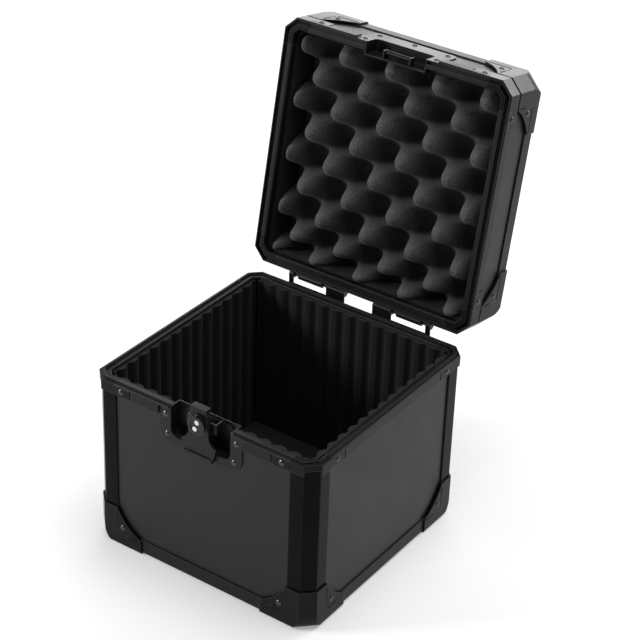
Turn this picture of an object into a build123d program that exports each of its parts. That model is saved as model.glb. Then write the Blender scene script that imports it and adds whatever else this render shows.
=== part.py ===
from build123d import *

import os
from math import cos, hypot, radians, sin, sqrt

# Carrying case for seven-inch records: a deep tray and a shallow hinged lid.  Both are
# laminated panels with edge extrusions, corner caps and a tongue-and-groove rim.  The case
# has a recessed hasp latch with a key lock, two butt hinges, a ribbed liner, foam in the lid
# and a folding handle on the lid.
# Millimetres.  Origin: centre of the plane the case stands on.  +X is the right-hand side
# seen from the latch, -Y is the latch side, +Z is up.  The lid is modelled shut and then
# turned about the hinge pins to its open stop, which is the rest position.

# ---- overall sizes -------------------------------------------------------------------------
CASE_WIDTH = 220.0              # over the corner caps, along X
CASE_DEPTH = 218.0              # over the corner caps, along Y
BASE_HEIGHT = 160.0             # ground to the base's rim
LID_HEIGHT = 53.0               # lid's rim to its top, over the caps
SEAM_GAP = 0.6                  # between the rims when shut
CORNER_CUT = 10.5               # leg of the 45 degree flat on each upright edge
EDGE_RADIUS = 3.0               # round of the foot and of the lid's top edges
CORNER_ROLL_RISE = 14.0         # where a corner's flat starts to turn into the foot or the top
CORNER_ROLL_DEPTH = 7.5         # how far it has turned in at the end
LID_OPEN_ANGLE = 101.0

# ---- layers, outside to inside -------------------------------------------------------------
CAP_WALL = 1.5
EXTRUSION_WALL = 1.2
PANEL_WALL = 6.0
RIM_LEG_WALL = 1.0

# ---- extrusions and corner caps ------------------------------------------------------------
UPRIGHT_REACH = 24.0            # from the corner
EDGE_REACH = 14.5               # flanges of the extrusions round the foot and the lid's top
CAP_REACH = 48.7                # cap along the foot, from the corner
CAP_END = 14.0                  # height of a cap's end
CAP_TOP_REACH = 24.5            # cap along its top, from the corner
CAP_SAG = 2.9                   # hollow of a cap's slanting edge
BASE_CAP_HEIGHT = 38.0
LID_CAP_HEIGHT = 36.8

# ---- rims ----------------------------------------------------------------------------------
RIM_BEVEL = 0.8
RIM_LEG_HEIGHT = 8.0
RIM_CORNER_REACH = 39.7         # corner piece's flange, from the corner
RIM_SLOT = 1.4                  # between the flanges of a corner piece and a rail
RIM_DECK_JOINT = 0.3
RAIL_FLANGE = 10.0
BASE_RIM_DECK = 1.6
BASE_CORNER_FLANGE = 10.0
BASE_CORNER_SKIRT = 5.5
LID_RIM_DECK = 5.0
LID_CORNER_FLANGE = 14.0
TONGUE_INSET = 3.0
TONGUE_WALL = 1.5
TONGUE_HEIGHT = 1.6
GROOVE_INSET = 1.5
GROOVE_WIDTH = 3.9
GROOVE_DEPTH = 3.0

# ---- linings -------------------------------------------------------------------------------
SOFT_CLEARANCE = 0.3
LINER_SHEET = 1.5
RIB_DEPTH = 2.8
RIB_PITCH = 14.0
RIB_FOOT = 8.0
RIB_CREST = 5.0
LINER_DROP = 1.6                # liner's top below the base's rim
FLOOR_PAD = 3.0
FOAM_TIP = 36.0                 # foam's thickness at a tip
FOAM_MIDDLE = 21.4              # between tips and hollows
FOAM_HOLLOW = 10.0
FOAM_CELL_X = 22.45             # from a tip to the next hollow
FOAM_CELL_Y = 23.7
FOAM_FIRST_TIP = (-92.9, -87.5)
FOAM_CELLS = 9                  # along each side
FOAM_FLAT = 0.35                # flat share of a tip's width
LINING_WALL = 2.0
LINING_DROP = 6.0               # lid lining starts this far inside the lid's rim

# ---- rivets --------------------------------------------------------------------------------
RIVET_RADIUS = 2.7
RIVET_DOME = 1.2
CAP_RIVET_IN = 30.0             # from the corner
CAP_RIVET_UP = 19.5
RIM_RIVET_IN = 31.0
BASE_RIM_RIVET = 5.6            # from the base's rim
LID_RIM_RIVET = 7.6             # from the lid's rim

# ---- butt hinges ---------------------------------------------------------------------------
HINGE_BEHIND = 3.5              # pin axis behind the caps' plane
HINGE_ABOVE = 7.0               # pin axis above the base's rim
HINGE_IN = 37.5                 # leaf's end, from the corner
HINGE_LENGTH = 58.0
BASE_INNER_KNUCKLE = 18.9
BASE_OUTER_KNUCKLE = 4.6
KNUCKLE_SPACE = 5.0
KNUCKLE_RADIUS = 3.2
HINGE_PIN_RADIUS = 1.5
PIN_FIT = 0.05                  # radial running clearance of the hinge and latch pins
HINGE_WALL = 1.6
HINGE_RELIEF = 0.5              # base leaf off the lid's flange
HINGE_LEAF_STEP = 2.0
HINGE_FOOT = 12.0
HINGE_RIVET_SPREAD = 20.0

# ---- latch ---------------------------------------------------------------------------------
SHEET = 1.0                     # stamped sheet of the latch and keeper dishes
DISH_HALF_WIDTH = 40.5
DISH_DROP = 34.6                # dish's lower edge below the base's rim
DISH_CORNER = 12.0
RECESS_HALF_WIDTH = 29.5
RECESS_DROP = 27.0
RECESS_DEPTH = 11.0             # from the panel's face
RECESS_CORNER = 7.0
CUT_CLEARANCE = 0.5
DISH_RIVET_UPPER = (34.8, 8.6)  # from the middle, below the rim
DISH_RIVET_LOWER = (33.0, 26.5)

HASP_AXIS_OUT = 0.6             # hasp's pin in front of the caps' plane
HASP_AXIS_DROP = 32.5
HASP_KNUCKLE_RADIUS = 1.9
HASP_PIN_RADIUS = 0.9
HASP_HALF_KNUCKLE = 14.0
HASP_HALF_FOOT = 17.0
HASP_FOOT_RISE = 11.0
HASP_HALF_NECK = 9.8
HASP_NECK_RISE = 20.0
HASP_SAG = 1.6
HASP_TOP_RISE = 36.5
HASP_WALL = 1.6
HASP_SET_BACK = 0.2             # plate's front behind the pin's axis (towards the front)
FIXED_KNUCKLE_HALF = 8.6
HASP_GAP = 0.4
HASP_RELIEF = 2.4               # plate's notch over the fixed knuckle
LOCK_RISE = 30.0                # lock's axis above the pin
LOCK_COLLAR_RADIUS = 9.6
LOCK_COLLAR_WALL = 1.2
LOCK_BARREL_RADIUS = 8.2
LOCK_BARREL_LENGTH = 3.4
LOCK_PLUG_RADIUS = 5.6
LOCK_PLUG_RECESS = 0.4
LOCK_SHANK_RADIUS = 3.6
LOCK_PIN_RADIUS = 2.1
LOCK_PIN_OFFSET = 3.4
LOCK_PIN_HEIGHT = 0.5
LOCK_PIN_TILT = 18.0            # the pair leans from upright
CAM_BEHIND = 4.2                # from the plate's back
CAM_WALL = 1.0
CAM_HALF_WIDTH = 3.9
CAM_LENGTH = 12.0
HOOK_HALF_WIDTH = 7.8
HOOK_WALL = 1.4
HOOK_TOP_RISE = 44.9
HOOK_STEP = 0.2
HOOK_BRIDGE = 1.0
HOOK_TAB_WALL = 0.8
HOOK_TAB_LENGTH = 13.0
HOOK_WINDOW_HALF = 5.2
HOOK_LIP_WALL = 2.8
HOOK_LIP_LENGTH = 6.0

CATCH_HALF_WIDTH = 26.5
CATCH_TOP_DROP = 2.0
CATCH_HEIGHT = 24.0
CATCH_CORNER = 9.0
CATCH_WALL = 1.5
CATCH_ARM_IN = 13.0
CATCH_ARM_DROP = 0.5            # arms' top below the base's rim
CATCH_ARM_HEIGHT = 9.0
CATCH_LIP_IN = 8.5
CATCH_LIP_WALL = 1.3
CATCH_CAM_GAP = 0.3

# ---- keeper in the lid ---------------------------------------------------------------------
KEEPER_HALF_WIDTH = 40.0
KEEPER_RISE = 33.5
KEEPER_CORNER = 6.0
KEEPER_RECESS_HALF = 28.5
KEEPER_RECESS_RISE = 16.0
KEEPER_RECESS_DEPTH = 9.5
KEEPER_RECESS_CORNER = 4.0
KEEPER_BAR_RADIUS = 2.0
KEEPER_BAR_RISE = 5.7
KEEPER_BAR_BEHIND = 7.6         # bar's axis behind the caps' plane
KEEPER_BAR_HALF = 11.9
KEEPER_EAR_WALL = 1.5
KEEPER_EAR_HALF_HEIGHT = 3.4
KEEPER_RIVET_SIDE = (34.5, 7.0)  # from the middle, above the lid's rim
KEEPER_RIVET_UPPER = (33.0, 27.0)
KEEPER_RIVET_TOP_RISE = 29.0

# ---- handle on the lid ---------------------------------------------------------------------
HANDLE_HALF_SPAN = 52.0         # outer faces of the arms
HANDLE_RISE = 7.0               # pivot above the lid's top panel
HANDLE_REACH = 34.0             # pivot to the grip's axis
HANDLE_GRIP_RADIUS = 5.8
HANDLE_ARM_WALL = 6.0
HANDLE_ARM_HALF = 5.0
HANDLE_PIN_RADIUS = 2.5
HANDLE_PIN_FIT = 0.08
BRACKET_WALL = 1.6
BRACKET_LENGTH = 26.0
BRACKET_HALF_WIDTH = 13.0
BRACKET_UNDER = 5.0             # plate's reach under the arm
BRACKET_EAR_RADIUS = 5.4
BRACKET_EAR_WALL = 2.5
BRACKET_GAP = 0.4
BRACKET_RIVET_OUT = 13.0
BRACKET_RIVET_SPREAD = 8.0

# ---- planes and sizes that follow ----------------------------------------------------------
HALF_WIDTH = CASE_WIDTH / 2
HALF_DEPTH = CASE_DEPTH / 2
PANEL_INSET = CAP_WALL + EXTRUSION_WALL
INNER_INSET = PANEL_INSET + PANEL_WALL
RIM_INSET = INNER_INSET + RIM_LEG_WALL
LINER_INSET = RIM_INSET + SOFT_CLEARANCE
LINER_FACE = LINER_INSET + LINER_SHEET
RIB_FACE = LINER_FACE + RIB_DEPTH
FOAM_INSET = LINER_INSET + LINING_WALL + SOFT_CLEARANCE
LID_TOP = BASE_HEIGHT + SEAM_GAP + LID_HEIGHT
LID_RIM = BASE_HEIGHT + SEAM_GAP
HINGE_Y = HALF_DEPTH + HINGE_BEHIND
HINGE_Z = BASE_HEIGHT + HINGE_ABOVE
HINGE_START = HALF_WIDTH - HINGE_IN - HINGE_LENGTH
FRONT = -HALF_DEPTH
PANEL_FRONT = FRONT + PANEL_INSET
HASP_Y = FRONT - HASP_AXIS_OUT
HASP_Z = BASE_HEIGHT - HASP_AXIS_DROP
HASP_FRONT = HASP_Y - HASP_SET_BACK
HASP_BACK = HASP_FRONT + HASP_WALL
LOCK_Z = HASP_Z + LOCK_RISE
CAM_FRONT = HASP_BACK + CAM_BEHIND
RECESS_FLOOR = PANEL_FRONT + RECESS_DEPTH
KEEPER_FLOOR = PANEL_FRONT + KEEPER_RECESS_DEPTH
KEEPER_BAR_Y = FRONT + KEEPER_BAR_BEHIND
KEEPER_BAR_Z = LID_RIM + KEEPER_BAR_RISE
LID_PANEL_TOP = LID_TOP - PANEL_INSET
HANDLE_Z = LID_PANEL_TOP + HANDLE_RISE
CUT_LOSS = 2 - sqrt(2)          # a 45 degree flat's leg shrinks by this per unit of inset
OVERCUT = 1.0                   # how far a cutting shape passes the surface it cuts
SIDES = ["front", "right", "back", "left"]


# ---- helpers -------------------------------------------------------------------------------
def block(x_range, y_range, z_range):
    """A box given by the two ends of its three edges."""
    ranges = (x_range, y_range, z_range)
    sizes = [abs(second - first) for first, second in ranges]
    middle = [(first + second) / 2 for first, second in ranges]
    return Pos(*middle) * Box(*sizes)


def outline(inset):
    """The case's plan moved in by the inset: a rectangle with 45 degree corners."""
    half_x = HALF_WIDTH - inset
    half_y = HALF_DEPTH - inset
    cut = CORNER_CUT - inset * CUT_LOSS
    quarter = [(half_x, half_y - cut), (half_x - cut, half_y)]
    points = quarter + [(-x, y) for x, y in reversed(quarter)]
    points += [(-x, -y) for x, y in quarter] + [(x, -y) for x, y in reversed(quarter)]
    return make_face(Polyline(*points, close=True))


def ring(outer, inner, low, high):
    return Pos(0, 0, low) * extrude(outline(outer) - outline(inner), high - low)


def rolled_bar(inset, height, turn):
    """A bar across two opposite corners; ellipses round its lower edges."""
    half = (HALF_WIDTH + HALF_DEPTH - CORNER_CUT) / sqrt(2) - inset
    depth = CORNER_ROLL_DEPTH - inset
    rise = CORNER_ROLL_RISE - inset
    face = Pos(0, (CORNER_ROLL_RISE + height) / 2) * Rectangle(2 * half,
                                                               height - CORNER_ROLL_RISE)
    face = face + Pos(0, inset + rise / 2) * Rectangle(2 * (half - depth), rise)
    for side in (-1, 1):
        face = face + Pos(side * (half - depth), CORNER_ROLL_RISE) * Ellipse(depth, rise)
    return Rot(0, 0, turn) * front_plate(face, -CASE_WIDTH, CASE_WIDTH)


def envelope(inset, height):
    """The case's outer form moved in by the inset, its far edges rounded, open at the top."""
    solid = Pos(0, 0, inset) * extrude(outline(inset), height - inset)
    solid = fillet(solid.edges().group_by(Axis.Z)[0], EDGE_RADIUS - inset)
    return solid & rolled_bar(inset, height, 45) & rolled_bar(inset, height, -45)


def corner_column(reach, low, high):
    """A column over the corner of the plan at +X, +Y."""
    return block((HALF_WIDTH - reach, HALF_WIDTH + OVERCUT),
                 (HALF_DEPTH - reach, HALF_DEPTH + OVERCUT), (low, high))


def four_corners(shape):
    """Repeats a shape of the +X, +Y corner at all four corners."""
    pair = shape + mirror(shape, about=Plane.YZ)
    return pair + mirror(pair, about=Plane.XZ)


def both_sides(shape):
    return shape + mirror(shape, about=Plane.YZ)


def side_wedge(side, reach, low, high):
    """A column over one side of the plan, mitred at both corners."""
    signs = [(-1, -1), (1, -1), (1, 1), (-1, 1)]
    outer = [(x * HALF_WIDTH, y * HALF_DEPTH) for x, y in signs]
    inner = [(x * (HALF_WIDTH - reach), y * (HALF_DEPTH - reach)) for x, y in signs]
    start = SIDES.index(side)
    end = (start + 1) % len(SIDES)
    face = make_face(Polyline(outer[start], outer[end], inner[end], inner[start], close=True))
    return Pos(0, 0, low) * extrude(face, high - low)


def side_limit(side, reach, low, high):
    """A column that stops short of the corners by the reach, over one side of the plan."""
    if side in ("front", "back"):
        near, far = ((-HALF_DEPTH - OVERCUT, 0) if side == "front" else (0, HALF_DEPTH + OVERCUT))
        return block((reach - HALF_WIDTH, HALF_WIDTH - reach), (near, far), (low, high))
    near, far = ((-HALF_WIDTH - OVERCUT, 0) if side == "left" else (0, HALF_WIDTH + OVERCUT))
    return block((near, far), (reach - HALF_DEPTH, HALF_DEPTH - reach), (low, high))


def front_plate(face, front, back):
    """A face drawn in X and Z, filled between two Y planes."""
    return Pos(0, back, 0) * Rot(90, 0, 0) * extrude(face, back - front)


def side_plate(face, left, right):
    """A face drawn in Y and Z, filled between two X planes."""
    return Pos(left, 0, 0) * extrude(Plane.YZ * face, right - left)


def rounded_face(half_width, low, high, radius, round_low):
    """A rectangle in X and Z, two of its corners rounded."""
    middle = (low + high) / 2
    face = Pos(0, middle) * Rectangle(2 * half_width, high - low)
    rows = face.vertices().group_by(Axis.Y)
    return fillet(rows[0] if round_low else rows[-1], radius)


def rod_x(radius, left, right, y, z):
    return Pos((left + right) / 2, y, z) * Rot(0, 90, 0) * Cylinder(radius, right - left)


def rod_y(radius, front, back, x, z):
    return Pos(x, (front + back) / 2, z) * Rot(90, 0, 0) * Cylinder(radius, back - front)


def rivet(point, outward):
    """A domed rivet head standing on a face."""
    ball_radius = (RIVET_RADIUS ** 2 + RIVET_DOME ** 2) / (2 * RIVET_DOME)
    ball = Pos(0, 0, RIVET_DOME - ball_radius) * Sphere(ball_radius)
    dome = ball & Pos(0, 0, RIVET_DOME / 2) * Cylinder(2 * RIVET_RADIUS, RIVET_DOME)
    return Plane(origin=point, z_dir=outward).location * dome


def join(shapes):
    total = shapes[0]
    for shape in shapes[1:]:
        total = total + shape
    return total


def shut_lid(shape):
    """From the lid lying on its top, rim up, to the lid shut on the base."""
    return Pos(0, 0, LID_TOP) * mirror(shape, about=Plane.XY)


def open_lid(shape):
    """From the shut lid to the lid at its open stop."""
    return shape.rotate(Axis((0, HINGE_Y, HINGE_Z), (1, 0, 0)), -LID_OPEN_ANGLE)


# ---- box structure, the same for the base and the lid --------------------------------------
def wall_panel(side, rim_height):
    wall = ring(PANEL_INSET, INNER_INSET, INNER_INSET, rim_height)
    wall = wall & envelope(PANEL_INSET, rim_height)
    return wall & side_wedge(side, INNER_INSET + OVERCUT, 0, rim_height)


def end_panel():
    return envelope(PANEL_INSET, 2 * INNER_INSET) & block(
        (-HALF_WIDTH, HALF_WIDTH), (-HALF_DEPTH, HALF_DEPTH), (0, INNER_INSET))


def edge_extrusion(side):
    """Angle extrusion over one edge of the end panel, mitred at the corners."""
    skin = envelope(CAP_WALL, EDGE_REACH) - envelope(PANEL_INSET, 2 * EDGE_REACH)
    return skin & side_wedge(side, EDGE_REACH, 0, EDGE_REACH)


def upright_extrusions(rim_height):
    skin = ring(CAP_WALL, PANEL_INSET, EDGE_REACH, rim_height)
    return four_corners(skin & corner_column(UPRIGHT_REACH, 0, rim_height))


def leaf_face(corner, first, second):
    """A cap leaf's face between its corner and the hollow edge that joins two points."""
    chord = (second[0] - first[0], second[1] - first[1])
    length = hypot(*chord)
    middle = ((first[0] + second[0]) / 2 + CAP_SAG * abs(chord[1]) / length,
              (first[1] + second[1]) / 2
              + CAP_SAG * abs(chord[0]) / length * (1 if corner[1] > first[1] else -1))
    frame = Polyline(second, (corner[0], second[1]), corner, (first[0], corner[1]), first)
    return make_face(frame + ThreePointArc(first, middle, second))


def corner_caps(height):
    """Pressed caps over the four corners of the end panel."""
    skin = envelope(0, height) - envelope(CAP_WALL, 2 * height)
    front_leaf = leaf_face((HALF_WIDTH + OVERCUT, -OVERCUT), (HALF_WIDTH - CAP_REACH, CAP_END),
                           (HALF_WIDTH - CAP_TOP_REACH, height))
    side_leaf = leaf_face((HALF_DEPTH + OVERCUT, -OVERCUT), (HALF_DEPTH - CAP_REACH, CAP_END),
                          (HALF_DEPTH - CAP_TOP_REACH, height))
    end_leaf = leaf_face((HALF_WIDTH + OVERCUT, HALF_DEPTH + OVERCUT),
                         (HALF_WIDTH - CAP_REACH, HALF_DEPTH - CAP_END),
                         (HALF_WIDTH - CAP_END, HALF_DEPTH - CAP_REACH))
    cap = skin & front_plate(front_leaf, 0, HALF_DEPTH + OVERCUT)
    cap = cap & side_plate(side_leaf, 0, HALF_WIDTH + OVERCUT)
    cap = cap & Pos(0, 0, -OVERCUT) * extrude(end_leaf, height + 2 * OVERCUT)
    return four_corners(cap)


# ---- rims ----------------------------------------------------------------------------------
def rim_deck(rim_height, deck):
    """The rim's flat top with the leg that runs down inside the panels."""
    flat = ring(0, RIM_INSET, rim_height - deck, rim_height)
    flat = chamfer(flat.edges().group_by(Axis.Z)[-1], RIM_BEVEL)
    leg_low = rim_height - deck - RIM_LEG_HEIGHT
    return flat + ring(INNER_INSET, RIM_INSET, leg_low, rim_height - deck)


def base_deck():
    tongue = ring(TONGUE_INSET, TONGUE_INSET + TONGUE_WALL, BASE_HEIGHT,
                  BASE_HEIGHT + TONGUE_HEIGHT)
    return rim_deck(BASE_HEIGHT, BASE_RIM_DECK) + tongue


def lid_deck():
    groove = ring(GROOVE_INSET, GROOVE_INSET + GROOVE_WIDTH, LID_HEIGHT - GROOVE_DEPTH,
                  LID_HEIGHT + OVERCUT)
    return rim_deck(LID_HEIGHT, LID_RIM_DECK) - groove


def rail(side, deck_ring, rim_height, deck):
    top = rim_height + TONGUE_HEIGHT
    deck_part = deck_ring & side_limit(side, UPRIGHT_REACH + RIM_DECK_JOINT, 0, top)
    flange = ring(0, CAP_WALL, rim_height - RAIL_FLANGE, rim_height - deck)
    flange_part = flange & side_limit(side, RIM_CORNER_REACH + RIM_SLOT, 0, top)
    return deck_part + flange_part


def rim_corners(deck_ring, rim_height, deck, corner_flange, corner_skirt):
    top = rim_height + TONGUE_HEIGHT
    deck_part = deck_ring & corner_column(UPRIGHT_REACH, 0, top)
    flange = ring(0, CAP_WALL, rim_height - corner_flange, rim_height - deck)
    flange_part = flange & corner_column(RIM_CORNER_REACH, 0, top)
    flange_part = flange_part - corner_column(CORNER_CUT, 0, rim_height - corner_skirt)
    return four_corners(deck_part + flange_part)


# ---- linings -------------------------------------------------------------------------------
def liner(half_length):
    """A ribbed wall liner: runs along X, its back on Y 0, ribs towards +Y, foot on Z 0."""
    foot = INNER_INSET + SOFT_CLEARANCE
    height = BASE_HEIGHT - LINER_DROP - foot
    crest_z = LINER_SHEET + RIB_DEPTH
    points = [(-half_length, 0), (-half_length, LINER_SHEET)]
    count = int((half_length - RIB_FOOT / 2) // RIB_PITCH)
    for number in range(-count, count + 1):
        middle = number * RIB_PITCH
        points += [(middle - RIB_FOOT / 2, LINER_SHEET), (middle - RIB_CREST / 2, crest_z),
                   (middle + RIB_CREST / 2, crest_z), (middle + RIB_FOOT / 2, LINER_SHEET)]
    points += [(half_length, LINER_SHEET), (half_length, 0)]
    return Pos(0, 0, foot) * extrude(make_face(Polyline(*points, close=True)), height)


def corner_start(half, inset):
    """Where the inner 45 degree corner starts at an inset, from the middle."""
    return half - inset - (CORNER_CUT - inset * CUT_LOSS)


def wall_liners():
    long_liner = liner(corner_start(HALF_WIDTH, LINER_INSET))
    side_liner = liner(HALF_DEPTH - RIB_FACE - SOFT_CLEARANCE)
    front = Pos(0, LINER_INSET - HALF_DEPTH, 0) * long_liner
    back = Pos(0, HALF_DEPTH - LINER_INSET, 0) * Rot(0, 0, 180) * long_liner
    left = Pos(LINER_INSET - HALF_WIDTH, 0, 0) * Rot(0, 0, -90) * side_liner
    right = Pos(HALF_WIDTH - LINER_INSET, 0, 0) * Rot(0, 0, 90) * side_liner
    return {"front": front - dish_cut(SOFT_CLEARANCE), "back": back, "left": left,
            "right": right}


def floor_pad():
    half_x = HALF_WIDTH - RIB_FACE - SOFT_CLEARANCE
    half_y = HALF_DEPTH - RIB_FACE - SOFT_CLEARANCE
    low = INNER_INSET + SOFT_CLEARANCE
    return block((-half_x, half_x), (-half_y, half_y), (low, low + FLOOR_PAD))


def foam_cell(column, row, low):
    """Five faces of one cell of the foam: a flat-topped tip or a hollow like it."""
    x = FOAM_FIRST_TIP[0] + column * FOAM_CELL_X
    y = FOAM_FIRST_TIP[1] + row * FOAM_CELL_Y
    level = low + (FOAM_HOLLOW if (column + row) % 2 else FOAM_TIP)
    corners = [(-1, -1), (1, -1), (1, 1), (-1, 1)]
    outer = [(x + i * FOAM_CELL_X / 2, y + j * FOAM_CELL_Y / 2, low + FOAM_MIDDLE)
             for i, j in corners]
    inner = [(x + i * FOAM_FLAT * FOAM_CELL_X / 2, y + j * FOAM_FLAT * FOAM_CELL_Y / 2, level)
             for i, j in corners]
    slopes = [[outer[n], outer[n - 1], inner[n - 1], inner[n]] for n in range(4)]
    return [Face(Wire.make_polygon(points)) for points in slopes + [inner]]


def foam_block(low):
    """The cells' faces closed by four walls and a flat back."""
    edge_x = [FOAM_FIRST_TIP[0] + (n - 0.5) * FOAM_CELL_X for n in range(FOAM_CELLS + 1)]
    edge_y = [FOAM_FIRST_TIP[1] + (n - 0.5) * FOAM_CELL_Y for n in range(FOAM_CELLS + 1)]
    top = low + FOAM_MIDDLE
    walls = [[(x, y, top) for x in edge_x] + [(edge_x[-1], y, low), (edge_x[0], y, low)]
             for y in (edge_y[0], edge_y[-1])]
    walls += [[(x, y, top) for y in edge_y] + [(x, edge_y[-1], low), (x, edge_y[0], low)]
              for x in (edge_x[0], edge_x[-1])]
    back = [(edge_x[0], edge_y[0], low), (edge_x[-1], edge_y[0], low),
            (edge_x[-1], edge_y[-1], low), (edge_x[0], edge_y[-1], low)]
    faces = [Face(Wire.make_polygon(points)) for points in walls + [back]]
    for column in range(FOAM_CELLS):
        for row in range(FOAM_CELLS):
            faces += foam_cell(column, row, low)
    return Solid(Shell(faces))


def foam_sheet():
    low = INNER_INSET + SOFT_CLEARANCE
    sheet = foam_block(low) & Pos(0, 0, low) * extrude(outline(FOAM_INSET), FOAM_TIP)
    return sheet - keeper_cut(SOFT_CLEARANCE)


def lid_lining():
    low = INNER_INSET + SOFT_CLEARANCE
    band = ring(LINER_INSET, LINER_INSET + LINING_WALL, low, LID_HEIGHT - LINING_DROP)
    return band - keeper_cut(SOFT_CLEARANCE)


# ---- latch ---------------------------------------------------------------------------------
def dish_cut(clearance):
    """Room for the latch dish's pocket in the panel, the rim and the liner."""
    half = RECESS_HALF_WIDTH + SHEET + clearance
    low = BASE_HEIGHT - RECESS_DROP - SHEET - clearance
    return block((-half, half), (FRONT - OVERCUT, RECESS_FLOOR + SHEET + clearance),
                 (low, BASE_HEIGHT + 2 * TONGUE_HEIGHT))


def dish_flange_cut():
    half = DISH_HALF_WIDTH + CUT_CLEARANCE
    return block((-half, half), (FRONT - OVERCUT, FRONT + CAP_WALL),
                 (BASE_HEIGHT - DISH_DROP, BASE_HEIGHT - BASE_RIM_DECK))


def latch_dish():
    """Pressed dish: a flange on the panel's face and a pocket that opens at the rim."""
    low = BASE_HEIGHT - RECESS_DROP
    flange_face = rounded_face(DISH_HALF_WIDTH, BASE_HEIGHT - DISH_DROP,
                               BASE_HEIGHT - BASE_RIM_DECK, DISH_CORNER, True)
    shell_face = rounded_face(RECESS_HALF_WIDTH + SHEET, low - SHEET, BASE_HEIGHT,
                              RECESS_CORNER + SHEET, True)
    pocket_face = rounded_face(RECESS_HALF_WIDTH, low, BASE_HEIGHT + OVERCUT,
                               RECESS_CORNER, True)
    dish = front_plate(flange_face, PANEL_FRONT - SHEET, PANEL_FRONT)
    dish = dish + front_plate(shell_face, PANEL_FRONT - SHEET, RECESS_FLOOR + SHEET)
    dish = dish - front_plate(pocket_face, PANEL_FRONT - SHEET - OVERCUT, RECESS_FLOOR)
    web = block((-FIXED_KNUCKLE_HALF, FIXED_KNUCKLE_HALF), (HASP_Y, PANEL_FRONT - SHEET),
                (HASP_Z - HASP_KNUCKLE_RADIUS, HASP_Z))
    knuckle = web + rod_x(HASP_KNUCKLE_RADIUS, -FIXED_KNUCKLE_HALF, FIXED_KNUCKLE_HALF,
                          HASP_Y, HASP_Z)
    return dish + (knuckle - hasp_bore())


def hasp_bore():
    return rod_x(HASP_PIN_RADIUS + PIN_FIT, -HASP_HALF_KNUCKLE, HASP_HALF_KNUCKLE, HASP_Y,
                 HASP_Z)


def latch_catch():
    """Plate on the pocket's floor with two arms that the lock's cam turns behind."""
    top = BASE_HEIGHT - CATCH_TOP_DROP
    face = rounded_face(CATCH_HALF_WIDTH, top - CATCH_HEIGHT, top, CATCH_CORNER, False)
    plate = front_plate(face, RECESS_FLOOR - CATCH_WALL, RECESS_FLOOR)
    arm_top = BASE_HEIGHT - CATCH_ARM_DROP
    heights = (arm_top - CATCH_ARM_HEIGHT, arm_top)
    lip_back = CAM_FRONT - CATCH_CAM_GAP
    lip_front = lip_back - CATCH_LIP_WALL
    arm = block((CATCH_ARM_IN, CATCH_ARM_IN + CATCH_WALL), (lip_front, RECESS_FLOOR), heights)
    lip = block((CATCH_LIP_IN, CATCH_ARM_IN), (lip_front, lip_back), heights)
    return plate + both_sides(arm + lip)


def hasp_plate():
    """The hasp's bell-shaped plate with its two knuckles."""
    foot = HASP_Z + HASP_FOOT_RISE
    neck = HASP_Z + HASP_NECK_RISE
    middle = ((HASP_HALF_FOOT + HASP_HALF_NECK) / 2 - HASP_SAG, (foot + neck) / 2)
    right = Polyline((0, HASP_Z), (HASP_HALF_KNUCKLE, HASP_Z), (HASP_HALF_FOOT, foot))
    right = right + ThreePointArc((HASP_HALF_FOOT, foot), middle, (HASP_HALF_NECK, neck))
    right = right + Polyline((HASP_HALF_NECK, neck), (HASP_HALF_NECK, LOCK_Z), (0, LOCK_Z),
                             (0, HASP_Z))
    half_face = make_face(right)
    face = half_face + mirror(half_face, about=Plane.YZ) + Pos(0, LOCK_Z) * Circle(
        HASP_HALF_NECK)
    top = HASP_Z + HASP_TOP_RISE
    face = face & Pos(0, top - HASP_TOP_RISE) * Rectangle(4 * HASP_HALF_FOOT,
                                                          2 * HASP_TOP_RISE)
    plate = front_plate(face, HASP_FRONT, HASP_BACK)
    inner = FIXED_KNUCKLE_HALF + HASP_GAP
    plate = plate - block((-inner, inner), (HASP_FRONT - OVERCUT, HASP_BACK + OVERCUT),
                          (HASP_Z - OVERCUT, HASP_Z + HASP_RELIEF))
    knuckle = rod_x(HASP_KNUCKLE_RADIUS, inner, HASP_HALF_KNUCKLE, HASP_Y, HASP_Z)
    plate = plate + both_sides(knuckle) - hasp_bore()
    shank_hole = rod_y(LOCK_SHANK_RADIUS + PIN_FIT, HASP_FRONT - OVERCUT,
                       HASP_BACK + OVERCUT, 0, LOCK_Z)
    return plate - shank_hole


def hasp_hook():
    """The hook: a tab behind the hasp's plate, a bridge over its top and a lip."""
    bridge_low = HASP_Z + HASP_TOP_RISE + HOOK_STEP
    bridge_high = bridge_low + HOOK_BRIDGE
    top = HASP_Z + HOOK_TOP_RISE
    width = (-HOOK_HALF_WIDTH, HOOK_HALF_WIDTH)
    tab_back = HASP_BACK + HOOK_TAB_WALL
    tab = block(width, (HASP_BACK, tab_back), (bridge_high - HOOK_TAB_LENGTH, bridge_high))
    bridge = block(width, (HASP_FRONT, tab_back), (bridge_low, bridge_high))
    blade = block(width, (HASP_FRONT, HASP_FRONT + HOOK_WALL), (bridge_low, top))
    lip = block(width, (HASP_FRONT, HASP_FRONT + HOOK_LIP_LENGTH), (top - HOOK_LIP_WALL, top))
    window = block((-HOOK_WINDOW_HALF, HOOK_WINDOW_HALF), (HASP_BACK, tab_back),
                   (bridge_low - HOOK_TAB_LENGTH, bridge_low))
    return tab + bridge + blade + lip - window


def lock_housing():
    collar = rod_y(LOCK_COLLAR_RADIUS, HASP_FRONT - LOCK_COLLAR_WALL, HASP_FRONT, 0, LOCK_Z)
    barrel = rod_y(LOCK_BARREL_RADIUS, HASP_FRONT - LOCK_BARREL_LENGTH, HASP_FRONT, 0, LOCK_Z)
    bore = rod_y(LOCK_PLUG_RADIUS + PIN_FIT, HASP_FRONT - LOCK_BARREL_LENGTH - OVERCUT,
                 HASP_FRONT, 0, LOCK_Z)
    return collar + barrel - bore


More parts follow.
